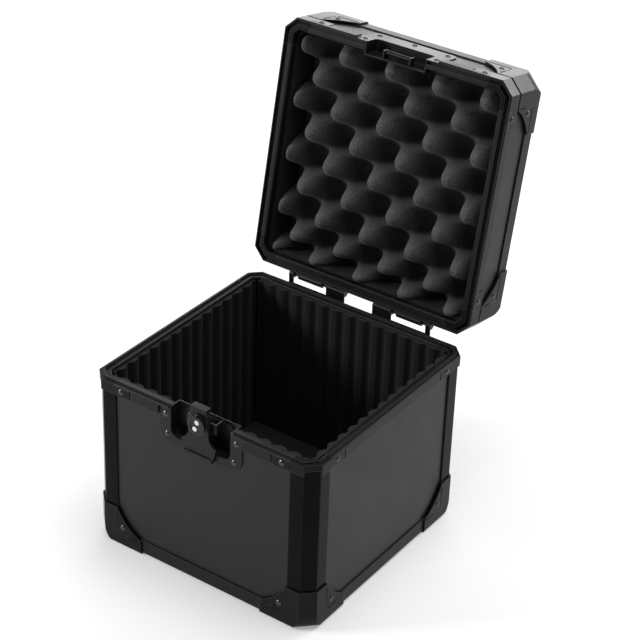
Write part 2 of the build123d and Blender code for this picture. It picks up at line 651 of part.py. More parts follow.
def lock_plug():
    """The part the key turns, with the shank that carries the cam."""
    face = HASP_FRONT - LOCK_BARREL_LENGTH + LOCK_PLUG_RECESS
    plug = rod_y(LOCK_PLUG_RADIUS, face, HASP_FRONT - PIN_FIT, 0, LOCK_Z)
    return plug + rod_y(LOCK_SHANK_RADIUS, face, CAM_FRONT, 0, LOCK_Z)


def lock_pins():
    face = HASP_FRONT - LOCK_BARREL_LENGTH + LOCK_PLUG_RECESS
    offset = (LOCK_PIN_OFFSET * sin(radians(LOCK_PIN_TILT)),
              LOCK_PIN_OFFSET * cos(radians(LOCK_PIN_TILT)))
    return join([rod_y(LOCK_PIN_RADIUS, face - LOCK_PIN_HEIGHT, face, sign * offset[0],
                       LOCK_Z + sign * offset[1]) for sign in (1, -1)])


def lock_cam():
    cam_back = CAM_FRONT + CAM_WALL
    hub = rod_y(CAM_HALF_WIDTH, CAM_FRONT, cam_back, 0, LOCK_Z)
    return hub + block((-CAM_HALF_WIDTH, CAM_HALF_WIDTH), (CAM_FRONT, cam_back),
                       (LOCK_Z - CAM_LENGTH, LOCK_Z))


# ---- keeper, in the coordinates of the lid lying on its top --------------------------------
def keeper_cut(clearance):
    half = KEEPER_RECESS_HALF + SHEET + clearance
    low = LID_HEIGHT - KEEPER_RECESS_RISE - SHEET - clearance
    return block((-half, half), (FRONT - OVERCUT, KEEPER_FLOOR + SHEET + clearance),
                 (low, LID_HEIGHT + OVERCUT))


def keeper_flange_cut():
    half = KEEPER_HALF_WIDTH + CUT_CLEARANCE
    return block((-half, half), (FRONT - OVERCUT, PANEL_FRONT),
                 (LID_HEIGHT - KEEPER_RISE, LID_HEIGHT + OVERCUT))


def keeper_dish():
    low = LID_HEIGHT - KEEPER_RECESS_RISE
    flange_face = rounded_face(KEEPER_HALF_WIDTH, LID_HEIGHT - KEEPER_RISE, LID_HEIGHT,
                               KEEPER_CORNER, True)
    shell_face = rounded_face(KEEPER_RECESS_HALF + SHEET, low - SHEET, LID_HEIGHT,
                              KEEPER_RECESS_CORNER + SHEET, True)
    pocket_face = rounded_face(KEEPER_RECESS_HALF, low, LID_HEIGHT + OVERCUT,
                               KEEPER_RECESS_CORNER, True)
    dish = front_plate(flange_face, PANEL_FRONT - SHEET, PANEL_FRONT)
    dish = dish + front_plate(shell_face, PANEL_FRONT - SHEET, KEEPER_FLOOR + SHEET)
    return dish - front_plate(pocket_face, PANEL_FRONT - SHEET - OVERCUT, KEEPER_FLOOR)


def keeper_bar():
    """Rolled bar the hook closes over, with the ear at each end (shut position)."""
    bar = rod_x(KEEPER_BAR_RADIUS, -KEEPER_BAR_HALF, KEEPER_BAR_HALF, KEEPER_BAR_Y,
                KEEPER_BAR_Z)
    ear = block((KEEPER_BAR_HALF, KEEPER_BAR_HALF + KEEPER_EAR_WALL),
                (KEEPER_BAR_Y - KEEPER_BAR_RADIUS, KEEPER_FLOOR),
                (KEEPER_BAR_Z - KEEPER_EAR_HALF_HEIGHT, KEEPER_BAR_Z + KEEPER_EAR_HALF_HEIGHT))
    return bar + both_sides(ear)


# ---- hinges --------------------------------------------------------------------------------
def knuckles(spans, leaf_wall_range, leaf_end):
    """Knuckles with the riser that joins each to its leaf, bored for the pin."""
    pieces = []
    for start, end in spans:
        pieces.append(rod_x(KNUCKLE_RADIUS, start, end, HINGE_Y, HINGE_Z))
        pieces.append(block((start, end), leaf_wall_range, (HINGE_Z, leaf_end)))
    return pieces


def hinge_leaf(spans, inner_face, near_end, flange_end, direction):
    """One leaf of the hinge on the +X side.

    The leaf lies on the rim's flange, steps in past the flange's end and lies on the panel.
    """
    outer = HALF_DEPTH + HINGE_WALL
    step_end = flange_end + direction * HINGE_LEAF_STEP
    foot_end = step_end + direction * HINGE_FOOT
    panel_face = HALF_DEPTH - PANEL_INSET
    face = Polyline((HALF_DEPTH, near_end), (outer, near_end), (outer, flange_end),
                    (panel_face + HINGE_WALL, step_end), (panel_face + HINGE_WALL, foot_end),
                    (panel_face, foot_end), (panel_face, step_end), (HALF_DEPTH, flange_end),
                    close=True)
    plate = side_plate(make_face(face), HINGE_START, HINGE_START + HINGE_LENGTH)
    leaf = join([plate] + knuckles(spans, (inner_face, outer), near_end))
    return leaf - rod_x(HINGE_PIN_RADIUS + PIN_FIT, HINGE_START, HINGE_START + HINGE_LENGTH,
                        HINGE_Y, HINGE_Z)


def hinge_leaves():
    """The base leaves and, in the shut position, the lid leaves."""
    end = HINGE_START + HINGE_LENGTH
    base_spans = [(HINGE_START, HINGE_START + BASE_INNER_KNUCKLE),
                  (end - BASE_OUTER_KNUCKLE, end)]
    lid_spans = [(HINGE_START + BASE_INNER_KNUCKLE + KNUCKLE_SPACE,
                  end - BASE_OUTER_KNUCKLE - KNUCKLE_SPACE)]
    base_leaf = hinge_leaf(base_spans, HALF_DEPTH + HINGE_RELIEF, BASE_HEIGHT - HINGE_RELIEF,
                           BASE_HEIGHT - BASE_CORNER_FLANGE - CUT_CLEARANCE, -1)
    lid_leaf = hinge_leaf(lid_spans, HALF_DEPTH, HINGE_Z + KNUCKLE_RADIUS + HINGE_RELIEF,
                          LID_RIM + LID_CORNER_FLANGE + CUT_CLEARANCE, 1)
    return both_sides(base_leaf), both_sides(lid_leaf)


def hinge_pins():
    return both_sides(rod_x(HINGE_PIN_RADIUS, HINGE_START, HINGE_START + HINGE_LENGTH,
                            HINGE_Y, HINGE_Z))


# ---- handle, in the shut position ----------------------------------------------------------
def handle_grip():
    """Moulded grip: two arms from the pivots and the bar between them."""
    inner = HANDLE_HALF_SPAN - HANDLE_ARM_WALL
    face = Pos(HANDLE_REACH / 2, HANDLE_Z) * Rectangle(HANDLE_REACH, 2 * HANDLE_ARM_HALF)
    face = face + Pos(0, HANDLE_Z) * Circle(HANDLE_ARM_HALF)
    face = face + Pos(HANDLE_REACH, HANDLE_Z) * Circle(HANDLE_GRIP_RADIUS)
    arm = side_plate(face, inner, HANDLE_HALF_SPAN)
    grip = both_sides(arm) + rod_x(HANDLE_GRIP_RADIUS, -inner, inner, HANDLE_REACH, HANDLE_Z)
    return grip - rod_x(HANDLE_PIN_RADIUS + HANDLE_PIN_FIT, inner - OVERCUT,
                        HANDLE_HALF_SPAN + OVERCUT, 0, HANDLE_Z) - rod_x(
        HANDLE_PIN_RADIUS + HANDLE_PIN_FIT, -HANDLE_HALF_SPAN - OVERCUT, OVERCUT - inner, 0,
        HANDLE_Z)


def handle_brackets():
    ear_in = HANDLE_HALF_SPAN + BRACKET_GAP
    ear_out = ear_in + BRACKET_EAR_WALL
    plate_in = HANDLE_HALF_SPAN - BRACKET_UNDER
    top = LID_PANEL_TOP + BRACKET_WALL
    plate = block((plate_in, plate_in + BRACKET_LENGTH),
                  (-BRACKET_HALF_WIDTH, BRACKET_HALF_WIDTH), (LID_PANEL_TOP, top))
    face = Pos(0, (top + HANDLE_Z) / 2) * Rectangle(2 * BRACKET_EAR_RADIUS, HANDLE_Z - top)
    face = face + Pos(0, HANDLE_Z) * Circle(BRACKET_EAR_RADIUS)
    ear = side_plate(face - Pos(0, HANDLE_Z) * Circle(HANDLE_PIN_RADIUS), ear_in, ear_out)
    return both_sides(plate + ear)


def handle_pins():
    return both_sides(rod_x(HANDLE_PIN_RADIUS, HANDLE_HALF_SPAN - HANDLE_ARM_WALL,
                            HANDLE_HALF_SPAN + BRACKET_GAP + BRACKET_EAR_WALL, 0, HANDLE_Z))


# ---- rivets --------------------------------------------------------------------------------
def corner_rivets(in_from_corner, height):
    """Rivets on both faces of the corner at +X, +Y."""
    side_point = (HALF_WIDTH, HALF_DEPTH - in_from_corner, height)
    back_point = (HALF_WIDTH - in_from_corner, HALF_DEPTH, height)
    return four_corners(rivet(side_point, (1, 0, 0)) + rivet(back_point, (0, 1, 0)))


def hinge_rivets(height):
    middle = HINGE_START + HINGE_LENGTH / 2
    face = HALF_DEPTH - PANEL_INSET + HINGE_WALL
    row = [rivet((middle + step * HINGE_RIVET_SPREAD, face, height), (0, 1, 0))
           for step in (-1, 0, 1)]
    return both_sides(join(row))


def dish_rivets(spots):
    """Rivets through a dish's flange; spots are given from the middle and as heights."""
    return join([rivet((sign * x, PANEL_FRONT - SHEET, z), (0, -1, 0))
                 for x, z in spots for sign in ((1, -1) if x else (1,))])


def base_rivets():
    dish = dish_rivets([(x, BASE_HEIGHT - drop)
                        for x, drop in (DISH_RIVET_UPPER, DISH_RIVET_LOWER)])
    hinge_z = (BASE_HEIGHT - BASE_CORNER_FLANGE - CUT_CLEARANCE - HINGE_LEAF_STEP
               - HINGE_FOOT / 2)
    return join([corner_rivets(CAP_RIVET_IN, CAP_RIVET_UP),
                 corner_rivets(RIM_RIVET_IN, BASE_HEIGHT - BASE_RIM_RIVET),
                 dish, hinge_rivets(hinge_z)])


def lid_rivets():
    """In the shut position."""
    caps = corner_rivets(CAP_RIVET_IN, LID_TOP - CAP_RIVET_UP)
    rims = corner_rivets(RIM_RIVET_IN, LID_RIM + LID_RIM_RIVET)
    spots = [(x, LID_RIM + rise) for x, rise in (KEEPER_RIVET_SIDE, KEEPER_RIVET_UPPER)]
    dish = dish_rivets(spots + [(0, LID_RIM + KEEPER_RIVET_TOP_RISE)])
    hinge_z = LID_RIM + LID_CORNER_FLANGE + CUT_CLEARANCE + HINGE_LEAF_STEP + HINGE_FOOT / 2
    bracket_x = HANDLE_HALF_SPAN + BRACKET_RIVET_OUT
    bracket = join([rivet((bracket_x, sign * BRACKET_RIVET_SPREAD,
                           LID_PANEL_TOP + BRACKET_WALL), (0, 0, 1)) for sign in (1, -1)])
    return join([caps, rims, dish, hinge_rivets(hinge_z), both_sides(bracket)])


# ---- all pieces by name --------------------------------------------------------------------
def base_pieces():
    panel_top = BASE_HEIGHT - BASE_RIM_DECK
    deck_ring = base_deck()
    liners = wall_liners()
    pieces = {"base_panel_bottom": end_panel()}
    for side in SIDES:
        pieces["base_panel_" + side] = wall_panel(side, panel_top)
        pieces["base_edge_" + side] = edge_extrusion(side)
        pieces["base_rail_" + side] = rail(side, deck_ring, BASE_HEIGHT, BASE_RIM_DECK)
        pieces["base_liner_" + side] = liners[side]
    cut = dish_cut(CUT_CLEARANCE)
    pieces["base_panel_front"] = pieces["base_panel_front"] - cut
    pieces["base_rail_front"] = pieces["base_rail_front"] - cut - dish_flange_cut()
    pieces["base_uprights"] = upright_extrusions(panel_top)
    pieces["base_corner_caps"] = corner_caps(BASE_CAP_HEIGHT)
    pieces["base_rim_corners"] = rim_corners(deck_ring, BASE_HEIGHT, BASE_RIM_DECK,
                                             BASE_CORNER_FLANGE, BASE_CORNER_SKIRT)
    pieces["base_floor_pad"] = floor_pad()
    pieces["latch_dish"] = latch_dish()
    pieces["latch_catch"] = latch_catch()
    pieces["hasp_pin"] = rod_x(HASP_PIN_RADIUS, -HASP_HALF_KNUCKLE, HASP_HALF_KNUCKLE,
                               HASP_Y, HASP_Z)
    pieces["hinge_pins"] = hinge_pins()
    pieces["base_rivets"] = base_rivets()
    return pieces


def latch_pieces():
    return {"hasp_plate": hasp_plate(), "hasp_hook": hasp_hook(),
            "lock_housing": lock_housing(), "lock_plug": lock_plug(),
            "lock_pins": lock_pins(), "lock_cam": lock_cam()}


def lid_tray_pieces():
    """The lid's pieces, modelled with the lid lying on its top."""
    panel_top = LID_HEIGHT - LID_RIM_DECK
    deck_ring = lid_deck()
    pieces = {"lid_panel_top": end_panel()}
    for side in SIDES:
        pieces["lid_panel_" + side] = wall_panel(side, panel_top)
        pieces["lid_edge_" + side] = edge_extrusion(side)
        pieces["lid_rail_" + side] = rail(side, deck_ring, LID_HEIGHT, LID_RIM_DECK)
    cut = keeper_cut(CUT_CLEARANCE)
    pieces["lid_panel_front"] = pieces["lid_panel_front"] - cut
    pieces["lid_rail_front"] = pieces["lid_rail_front"] - cut - keeper_flange_cut()
    pieces["lid_uprights"] = upright_extrusions(panel_top)
    pieces["lid_corner_caps"] = corner_caps(LID_CAP_HEIGHT)
    pieces["lid_rim_corners"] = rim_corners(deck_ring, LID_HEIGHT, LID_RIM_DECK,
                                            LID_CORNER_FLANGE, LID_CORNER_FLANGE)
    pieces["lid_foam"] = foam_sheet()
    pieces["lid_lining"] = lid_lining()
    pieces["keeper_dish"] = keeper_dish()
    return pieces


def lid_shut_pieces(lid_leaves):
    """The lid's pieces that are modelled in the shut position."""
    return {"keeper_bar": keeper_bar(), "lid_rivets": lid_rivets(),
            "hinge_lid_leaves": lid_leaves, "handle_brackets": handle_brackets(),
            "handle_pins": handle_pins(), "handle_grip": handle_grip()}


def all_pieces():
    base_leaves, lid_leaves = hinge_leaves()
    pieces = base_pieces()
    pieces["hinge_base_leaves"] = base_leaves
    pieces.update(latch_pieces())
    for name, shape in lid_tray_pieces().items():
        pieces[name] = open_lid(shut_lid(shape))
    for name, shape in lid_shut_pieces(lid_leaves).items():
        pieces[name] = open_lid(shape)
    return pieces


os.makedirs("parts", exist_ok=True)
for piece_name, piece in all_pieces().items():
    export_step(piece, "parts/" + piece_name + ".step")
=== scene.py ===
# %% [markdown]
# # A carrying case for seven-inch records
# This lesson dresses that frame: it sets up the camera, gives every part a procedural
# material, and models the soft linings that the CAD model only blocks out.

# %% Load the frame
import math

import bmesh
import bpy
from mathutils import Matrix, Vector


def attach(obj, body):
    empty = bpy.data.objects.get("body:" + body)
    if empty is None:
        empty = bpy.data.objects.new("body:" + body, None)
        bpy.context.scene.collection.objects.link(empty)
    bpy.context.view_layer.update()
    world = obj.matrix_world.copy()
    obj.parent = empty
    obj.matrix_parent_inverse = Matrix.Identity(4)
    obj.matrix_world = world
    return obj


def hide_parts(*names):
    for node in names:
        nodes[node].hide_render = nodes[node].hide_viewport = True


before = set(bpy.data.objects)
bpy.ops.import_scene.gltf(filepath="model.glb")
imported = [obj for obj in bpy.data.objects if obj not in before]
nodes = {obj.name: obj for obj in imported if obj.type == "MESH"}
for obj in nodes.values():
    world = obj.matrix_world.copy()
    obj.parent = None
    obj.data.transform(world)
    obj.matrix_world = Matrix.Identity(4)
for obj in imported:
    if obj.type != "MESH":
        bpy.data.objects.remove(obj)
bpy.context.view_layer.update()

print("CAD nodes:", len(nodes))

# %% [markdown]
# ## Camera
# We start with the camera, so that everything after it can be judged in its view.
# Azimuth turns it round the case, elevation lifts it, and roll tips the picture a little.

# %% Camera
AZIMUTH = math.radians(34.09)
ELEVATION = math.radians(31.19)
ROLL = math.radians(2.15)
CAMERA_PLACE = (0.79166, -1.11677, 1.02937)

camera_data = bpy.data.cameras.new("camera")
camera_data.lens = 112.12
camera_data.sensor_width = 36.0
camera = bpy.data.objects.new("camera", camera_data)
camera.matrix_world = (
    Matrix.Translation(CAMERA_PLACE)
    @ Matrix.Rotation(AZIMUTH, 4, "Z")
    @ Matrix.Rotation(math.pi / 2 - ELEVATION, 4, "X")
    @ Matrix.Rotation(ROLL, 4, "Z")
)
bpy.context.scene.collection.objects.link(camera)
bpy.context.scene.camera = camera
print("Lens:", camera_data.lens, "mm")

# %% [markdown]
# ## Materials
# A small set of helper functions keeps the node trees short. Every texture reads Object
# coordinates, which stay fixed to the piece wherever the camera stands.

# %% Node helpers
MM = 0.001
BEVEL_SAMPLES = 6


def new_material(name, color, roughness, metallic=0.0):
    """A material with a Principled shader; returns it with its node tree and shader."""
    material = bpy.data.materials.new(name)
    material.use_nodes = True
    tree = material.node_tree
    shader = tree.nodes["Principled BSDF"]
    shader.inputs["Base Color"].default_value = (*color, 1.0)
    shader.inputs["Roughness"].default_value = roughness
    shader.inputs["Metallic"].default_value = metallic
    return material, tree, shader


def object_coordinates(tree):
    return tree.nodes.new("ShaderNodeTexCoord").outputs["Object"]


def noise(tree, vector, size_mm, detail):
    """Smooth noise whose features are about size_mm wide."""
    node = tree.nodes.new("ShaderNodeTexNoise")
    node.inputs["Scale"].default_value = 1.0 / (size_mm * MM)
    node.inputs["Detail"].default_value = detail
    tree.links.new(vector, node.inputs["Vector"])
    return node.outputs["Fac"]


def map_range(tree, value, low, high, from_low, from_high):
    """Turns values between from_low and from_high into values between low and high."""
    node = tree.nodes.new("ShaderNodeMapRange")
    node.inputs["From Min"].default_value = from_low
    node.inputs["From Max"].default_value = from_high
    node.inputs["To Min"].default_value = low
    node.inputs["To Max"].default_value = high
    tree.links.new(value, node.inputs["Value"])
    return node.outputs["Result"]


def color_between(tree, value, dark, light):
    """Dark where the value is zero, light where it is one."""
    node = tree.nodes.new("ShaderNodeMix")
    node.data_type = "RGBA"
    node.inputs["A"].default_value = (*dark, 1.0)
    node.inputs["B"].default_value = (*light, 1.0)
    tree.links.new(value, node.inputs["Factor"])
    return node.outputs["Result"]


def bump(tree, height, depth_mm, normal=None):
    node = tree.nodes.new("ShaderNodeBump")
    node.inputs["Strength"].default_value = 1.0
    node.inputs["Distance"].default_value = depth_mm * MM
    tree.links.new(height, node.inputs["Height"])
    if normal is not None:
        tree.links.new(normal, node.inputs["Normal"])
    return node.outputs["Normal"]


def soft_edges(tree, radius_mm):
    """Shades hard edges as if they had a small round."""
    node = tree.nodes.new("ShaderNodeBevel")
    node.samples = BEVEL_SAMPLES
    node.inputs["Radius"].default_value = radius_mm * MM
    return node.outputs["Normal"]


def edge_mask(tree, rounded, sharpness):
    """One on hard edges, zero on flat faces: where the rounded normal leaves the true one."""
    geometry = tree.nodes.new("ShaderNodeNewGeometry")
    product = tree.nodes.new("ShaderNodeVectorMath")
    product.operation = "DOT_PRODUCT"
    tree.links.new(geometry.outputs["Normal"], product.inputs[0])
    tree.links.new(rounded, product.inputs[1])
    return map_range(tree, product.outputs["Value"], 1.0, 0.0, 1.0 - sharpness, 1.0)


print("Helpers ready")

# %% [markdown]
# The hard parts: a grained laminate for the panels, satin aluminium for the extrusions,
# and painted metal for caps and latch. A slow noise varies the paint's tone and gloss, a
# fine one gives its grain, and a lighter colour on the edges is a painted highlight.

# %% Hard materials
PAINT_IOR = 1.25
CLOUD_MM = 38.0
CLOUD_RANGE = (0.3, 0.7)        # where most of the slow noise lies
PAINT_NOISE_DETAIL = 2.0
EDGE_SHARPNESS = 0.25
SMOOTHER = 0.04                 # roughness taken off where the slow noise is low
ROUGHER = 0.05                  # and added where it is high


def painted(name, dark, light, roughness, grain_mm, grain_depth_mm, round_mm, metallic=0.0,
            gloss=0.5, edge_highlight=None):
    """A cloudy, grained paint or metal; edges show a painted highlight in the edge_highlight
    colour, or the light one.
    """
    material, tree, shader = new_material(name, dark, roughness, metallic)
    shader.inputs["IOR"].default_value = PAINT_IOR
    shader.inputs["Specular IOR Level"].default_value = gloss
    vector = object_coordinates(tree)
    cloudy = noise(tree, vector, CLOUD_MM, PAINT_NOISE_DETAIL)
    fine = noise(tree, vector, grain_mm, PAINT_NOISE_DETAIL)
    rounded = soft_edges(tree, round_mm)
    color = tree.nodes.new("ShaderNodeMix")
    color.data_type = "RGBA"
    cloud_mask = map_range(tree, cloudy, 0, 1, *CLOUD_RANGE)
    tree.links.new(color_between(tree, cloud_mask, dark, light), color.inputs["A"])
    # painted highlight: hard edges get the lighter edge colour
    color.inputs["B"].default_value = (*(edge_highlight or light), 1.0)
    tree.links.new(edge_mask(tree, rounded, EDGE_SHARPNESS), color.inputs["Factor"])
    tree.links.new(color.outputs["Result"], shader.inputs["Base Color"])
    uneven = map_range(tree, cloudy, roughness - SMOOTHER, roughness + ROUGHER, *CLOUD_RANGE)
    tree.links.new(uneven, shader.inputs["Roughness"])
    tree.links.new(bump(tree, fine, grain_depth_mm, rounded), shader.inputs["Normal"])
    return material


laminate = painted(
    "laminate", (0.005, 0.005, 0.0053), (0.008, 0.008, 0.0083), roughness=0.42,
    grain_mm=0.9, grain_depth_mm=0.05, round_mm=0.4, gloss=0.84)
extrusion = painted(
    "extrusion", (0.004, 0.004, 0.0042), (0.006, 0.006, 0.0063), roughness=0.42,
    grain_mm=0.8, grain_depth_mm=0.015, round_mm=0.6, gloss=0.58, edge_highlight=(0.07, 0.07, 0.072))
# painted shade: a darker, less glossy copy of the extrusion paint for the base's uprights,
# while the lid's uprights keep the extrusion paint
shaded_upright_paint = painted(
    "shaded_upright_paint", (0.0012, 0.0012, 0.0013), (0.0018, 0.0018, 0.0019), roughness=0.24,
    grain_mm=0.8, grain_depth_mm=0.01, round_mm=2.0, gloss=0.18, edge_highlight=(0.03, 0.03, 0.031))
cap_paint = painted(
    "cap_paint", (0.004, 0.004, 0.0042), (0.006, 0.006, 0.0063), roughness=0.28,
    grain_mm=0.9, grain_depth_mm=0.02, round_mm=0.6, gloss=0.32, edge_highlight=(0.09, 0.09, 0.093))
latch_paint = painted(
    "latch_paint", (0.004, 0.004, 0.0042), (0.006, 0.006, 0.0063), roughness=0.36,
    grain_mm=0.8, grain_depth_mm=0.015, round_mm=0.4, gloss=0.65, edge_highlight=(0.05, 0.05, 0.052))
lock_paint = painted(
    "lock_paint", (0.004, 0.004, 0.004), (0.006, 0.006, 0.006), roughness=0.20,
    grain_mm=0.7, grain_depth_mm=0.01, round_mm=0.4, gloss=1.0)
rivet_metal = painted(
    "rivet_metal", (0.05, 0.05, 0.052), (0.08, 0.08, 0.083), roughness=0.24,
    grain_mm=0.7, grain_depth_mm=0.01, round_mm=0.2, metallic=0.9)
steel = painted(
    "steel", (0.62, 0.62, 0.63), (0.72, 0.72, 0.73), roughness=0.28,
    grain_mm=0.6, grain_depth_mm=0.01, round_mm=0.2, metallic=1.0)
dark_steel = painted(
    "dark_steel", (0.010, 0.010, 0.0105), (0.016, 0.016, 0.0165), roughness=0.45,
    grain_mm=0.6, grain_depth_mm=0.01, round_mm=0.2, gloss=0.65)
grip_plastic = painted(
    "grip_plastic", (0.010, 0.010, 0.010), (0.014, 0.014, 0.014), roughness=0.5,
    grain_mm=0.7, grain_depth_mm=0.04, round_mm=0.8)
hard_materials = [laminate, extrusion, shaded_upright_paint, cap_paint, latch_paint, lock_paint,
                  rivet_metal, steel, dark_steel, grip_plastic]
print("Hard materials:", len(hard_materials))

# %% [markdown]
# The soft materials scatter light from many fibres or open cells, so they are rough, carry
# a little sheen and show a fine speckle. The foam's colour is darkened in its hollows as
# painted shade, by a depth that is stored on its mesh as an attribute.

# %% Soft materials
SOFT_ROUGHNESS = 0.95
SOFT_GLOSS = 0.2
SHEEN_ROUGHNESS = 0.6
SPECK_RANGE = (0.35, 0.7)       # where most of the speckle noise lies
SPECK_NOISE_DETAIL = 4.0
# painted shade: in the foam's hollows the colour is multiplied down to this
HOLLOW_SHADE = 0.42             # what is left of the colour in a hollow
HOLLOW_RANGE = (0.25, 0.85)     # levels between full shade and none


def painted_hollow_shade(tree, color, attribute_name):
    """The colour, multiplied by a painted shade where the attribute is low."""
    attribute = tree.nodes.new("ShaderNodeAttribute")
    attribute.attribute_name = attribute_name
    shade = tree.nodes.new("ShaderNodeMix")
    shade.data_type = "RGBA"
    shade.blend_type = "MULTIPLY"
    shade.inputs["Factor"].default_value = 1.0
    tree.links.new(color, shade.inputs["A"])
    tree.links.new(map_range(tree, attribute.outputs["Fac"], HOLLOW_SHADE, 1.0, *HOLLOW_RANGE),
                   shade.inputs["B"])
    return shade.outputs["Result"]


def speckled(name, dark, light, speck_mm, depth_mm, sheen, shade_attribute=None):
    """Fibres or cells; a shade attribute, if there is one, paints shade into the hollows."""
    material, tree, shader = new_material(name, dark, SOFT_ROUGHNESS)
    vector = object_coordinates(tree)
    specks = noise(tree, vector, speck_mm, SPECK_NOISE_DETAIL)
    color = color_between(tree, map_range(tree, specks, 0, 1, *SPECK_RANGE), dark, light)
    if shade_attribute is not None:
        color = painted_hollow_shade(tree, color, shade_attribute)
    tree.links.new(color, shader.inputs["Base Color"])
    shader.inputs["Specular IOR Level"].default_value = SOFT_GLOSS
    shader.inputs["Sheen Weight"].default_value = sheen
    shader.inputs["Sheen Roughness"].default_value = SHEEN_ROUGHNESS
    tree.links.new(bump(tree, specks, depth_mm), shader.inputs["Normal"])
    return material


# the foam's level attribute paints shade into its hollows
foam_cells = speckled("foam_cells", (0.031, 0.031, 0.032), (0.086, 0.086, 0.089),
                      speck_mm=1.1, depth_mm=0.4, sheen=0.05, shade_attribute="level")
felt = speckled("felt", (0.004, 0.004, 0.0043), (0.009, 0.009, 0.0095),
                speck_mm=0.8, depth_mm=0.3, sheen=0.03)
print("Soft materials:", len([foam_cells, felt]))

# %% [markdown]
# Each CAD node gets its material by the start of its name. The list is read from the top,
# so an exact name comes before a general one.

# %% Dress the CAD nodes
FINISHES = [
    ("base_panel", laminate, "laminate"), ("lid_panel", laminate, "laminate"),
    ("base_edge", extrusion, "extrusion"), ("lid_edge", extrusion, "extrusion"),
    ("base_uprights", shaded_upright_paint, "extrusion"), ("lid_uprights", extrusion, "extrusion"),
    ("base_rail", extrusion, "extrusion"), ("lid_rail", extrusion, "extrusion"),
    ("base_corner_caps", cap_paint, "cap"), ("lid_corner_caps", cap_paint, "cap"),
    ("base_rim_corners", cap_paint, "cap"), ("lid_rim_corners", cap_paint, "cap"),
    ("handle_brackets", cap_paint, "cap"), ("base_rivets", rivet_metal, "rivet"),
    ("lid_rivets", rivet_metal, "rivet"), ("hinge_pins", dark_steel, "steel"),
    ("hasp_pin", dark_steel, "steel"), ("handle_pins", dark_steel, "steel"),
    ("lock_pins", steel, "steel"), ("lock_housing", lock_paint, "lock"),
    ("lock_plug", lock_paint, "lock"), ("handle_grip", grip_plastic, "grip"),
    ("base_liner", felt, "lining"), ("base_floor_pad", felt, "lining"),
    ("lid_lining", felt, "lining"), ("lid_foam", foam_cells, "foam"),
    ("hinge_", latch_paint, "latch"), ("latch_", latch_paint, "latch"),
    ("hasp_", latch_paint, "latch"), ("lock_cam", latch_paint, "latch"),
    ("keeper_", latch_paint, "latch"),
]


def dress(piece, material):
    piece.data.materials.clear()
    piece.data.materials.append(material)


for node_name, node in nodes.items():
    material, slot_name = next(row[1:] for row in FINISHES if node_name.startswith(row[0]))
    dress(node, material)
print("Dressed nodes:", len(nodes))

# %% [markdown]
# ## Measures shared by the pieces made here
# All lengths are in metres, in the frame's own coordinates. The lid's pieces are modelled
# with the lid shut and then turned about the hinge by the same angle as the CAD lid.

# %% Shared measures
HALF_WIDTH = 110 * MM
HALF_DEPTH = 109 * MM
HINGE = Vector((0, 112.5 * MM, 167 * MM))
OPEN_ANGLE = math.radians(101)

turn_open = (Matrix.Translation(HINGE) @ Matrix.Rotation(-OPEN_ANGLE, 4, "X")
             @ Matrix.Translation(-HINGE))


def finish_mesh(bm, name, material, body, replaced, turn=None, smooth=True):
    """Turns a bmesh into a finished piece that rides on a body of the frame.

    The CAD nodes named in replaced are hidden behind it; a piece may also replace none.
    """
    if turn is not None:
        bm.transform(turn)
    bmesh.ops.recalc_face_normals(bm, faces=bm.faces)
    mesh = bpy.data.meshes.new(name)
    bm.to_mesh(mesh)
    bm.free()
    for polygon in mesh.polygons:
        polygon.use_smooth = smooth
    piece = bpy.data.objects.new(name, mesh)
    bpy.context.scene.collection.objects.link(piece)
    dress(piece, material)
    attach(piece, body)
    if replaced:
        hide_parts(*replaced)
    return piece


def lift(bm, faces, height):
    """Extrudes flat faces to a height and returns the moved faces."""
    made = bmesh.ops.extrude_face_region(bm, geom=faces)["geom"]
    for item in made:
        if isinstance(item, bmesh.types.BMVert):
            item.co.z = height
    return [item for item in made if isinstance(item, bmesh.types.BMFace)]


print("Lid opens by", round(math.degrees(OPEN_ANGLE)), "degrees")

# %% [markdown]
# ## Egg-crate foam
# Convoluted foam has bumps and hollows on a staggered grid, which is the product of two
# cosine waves. We lay a fine grid over the lid, lift each point by that wave, then close the
# sheet with side walls and a back. The last row is squeezed against the hinge side, the cut
# edges sag a little, and each point keeps its level, which the material reads to paint shade
# into the hollows.

# %% Egg-crate foam
FOAM_BACK_Z = 204.6 * MM
FOAM_TIP = 44.0 * MM
FOAM_HOLLOW = 9.0 * MM
FOAM_PITCH_X = 45.4 * MM
FOAM_PITCH_Y = 48.0 * MM
FOAM_PHASE = (-95.0 * MM, -87.0 * MM)
FOAM_SHARPNESS = 1.3
FOAM_BLUNTNESS = 0.6
FOAM_EDGE = 8.0 * MM
FOAM_EDGE_SAG = 0.4
FOAM_SQUEEZE_FROM = 62.0 * MM
FOAM_SQUEEZE = 10.5
FOAM_X = 97.5 * MM
FOAM_Y = (-95.4 * MM, 96.5 * MM)
FOAM_STEP = 1.6 * MM
FOAM_CORNER_IN = (12.4 * MM, 15.7 * MM)     # from the case's sides to a point of the corner cut


def foam_level(x, y):
    """Zero in a hollow and one on a tip; the bluntness widens both.

    The last row is squeezed against the hinge side, and the cut edges at the sides sag.
    """
    y += FOAM_SQUEEZE * max(0.0, y - FOAM_SQUEEZE_FROM) ** 2
    wave = 0.5 + 0.5 * (math.cos(2 * math.pi * (x - FOAM_PHASE[0]) / FOAM_PITCH_X)
                        * math.cos(2 * math.pi * (y - FOAM_PHASE[1]) / FOAM_PITCH_Y))
    blunt = wave * wave * (3 - 2 * wave)
    from_edge = min(1.0, (FOAM_X - abs(x)) / FOAM_EDGE)
    sag = 1 - FOAM_EDGE_SAG * (1 - from_edge) ** 2
    return sag * (wave + FOAM_BLUNTNESS * (blunt - wave)) ** FOAM_SHARPNESS


